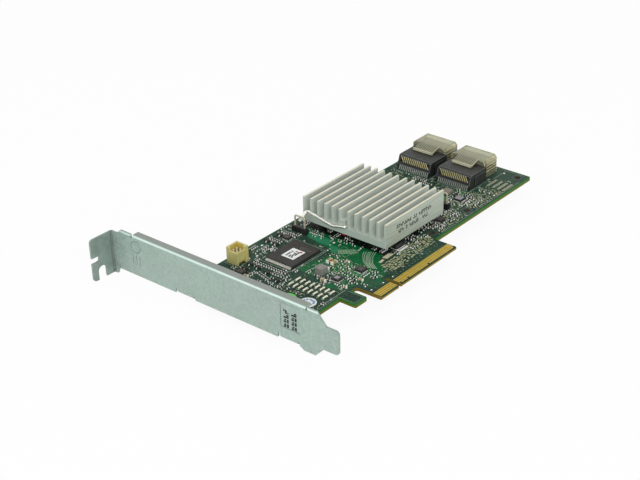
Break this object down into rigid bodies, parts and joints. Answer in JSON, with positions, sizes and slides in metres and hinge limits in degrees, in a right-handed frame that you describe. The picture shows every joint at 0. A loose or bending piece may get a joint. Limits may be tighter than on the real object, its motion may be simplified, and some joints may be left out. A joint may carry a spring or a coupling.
{
  "type": "raid controller card",
  "caption": "Low-profile add-in controller card: board with edge contacts, folded bracket, clipped finned heat sink, capped cable ports, memory chip and shrouded header.",
  "frame": {"origin": "on the bracket's outer face, at the height of the contact tips and of the board's component face", "axes": "+X from the bracket along the board to its tail, +Y from the contact tips to the board's top edge, +Z out of the component face"},
  "size_m": [0.179, 0.1201, 0.022],
  "materials": {
    "board_laminate": "satin green solder mask over glass laminate",
    "contact_gold": "gold plating",
    "galvanised_steel": "galvanised sheet with a faint spangle",
    "screw_steel": "zinc plated",
    "heat_sink_aluminium": "satin extrusion",
    "chip_black": "moulded epoxy",
    "thermal_pad_grey": "soft silicone pad",
    "clip_wire": "bright plated spring wire",
    "port_black": "moulded black thermoplastic",
    "anchor_tin": "tin plated",
    "clear_cap": "clear olive-tinted moulding",
    "label_paper": "printed adhesive label",
    "sticker_green": "printed adhesive label",
    "header_cream": "moulded cream nylon",
    "ferrite_grey": "pressed ferrite",
    "capacitor_tan": "fired ceramic",
    "resistor_cream": "fired ceramic"
  },
  "bodies": {
    "root": {"circuit_board": "board_laminate", "component_side_contacts": "contact_gold", "solder_side_contacts": "contact_gold", "mounting_bracket": "galvanised_steel", "bracket_screws": "screw_steel", "heat_sink": "heat_sink_aluminium", "controller_substrate": "chip_black", "controller_lid": "chip_black", "thermal_pad": "thermal_pad_grey", "heat_sink_clip": "clip_wire", "front_anchor_foot": "port_black", "rear_anchor_foot": "port_black", "front_anchor_loop": "anchor_tin", "rear_anchor_loop": "anchor_tin", "near_port_housing": "port_black", "far_port_housing": "port_black", "near_port_contacts": "contact_gold", "far_port_contacts": "contact_gold", "near_dust_cap": "clear_cap", "far_dust_cap": "clear_cap", "memory_chip": "chip_black", "memory_chip_leads": "anchor_tin", "memory_label": "label_paper", "header_shroud": "header_cream", "header_pins": "anchor_tin", "power_inductor": "ferrite_grey", "power_inductor_feet": "anchor_tin", "voltage_regulator": "chip_black", "voltage_regulator_tab": "anchor_tin", "power_stage_chip": "chip_black", "clock_chip": "chip_black", "tail_logic_chip": "chip_black", "header_driver_chip": "chip_black", "supervisor_chip": "chip_black", "sink_side_chip": "chip_black", "ceramic_capacitors": "capacitor_tan", "resistor_packs": "resistor_cream", "white_round_sticker": "label_paper", "green_round_sticker": "sticker_green"}
  },
  "joints": []
}
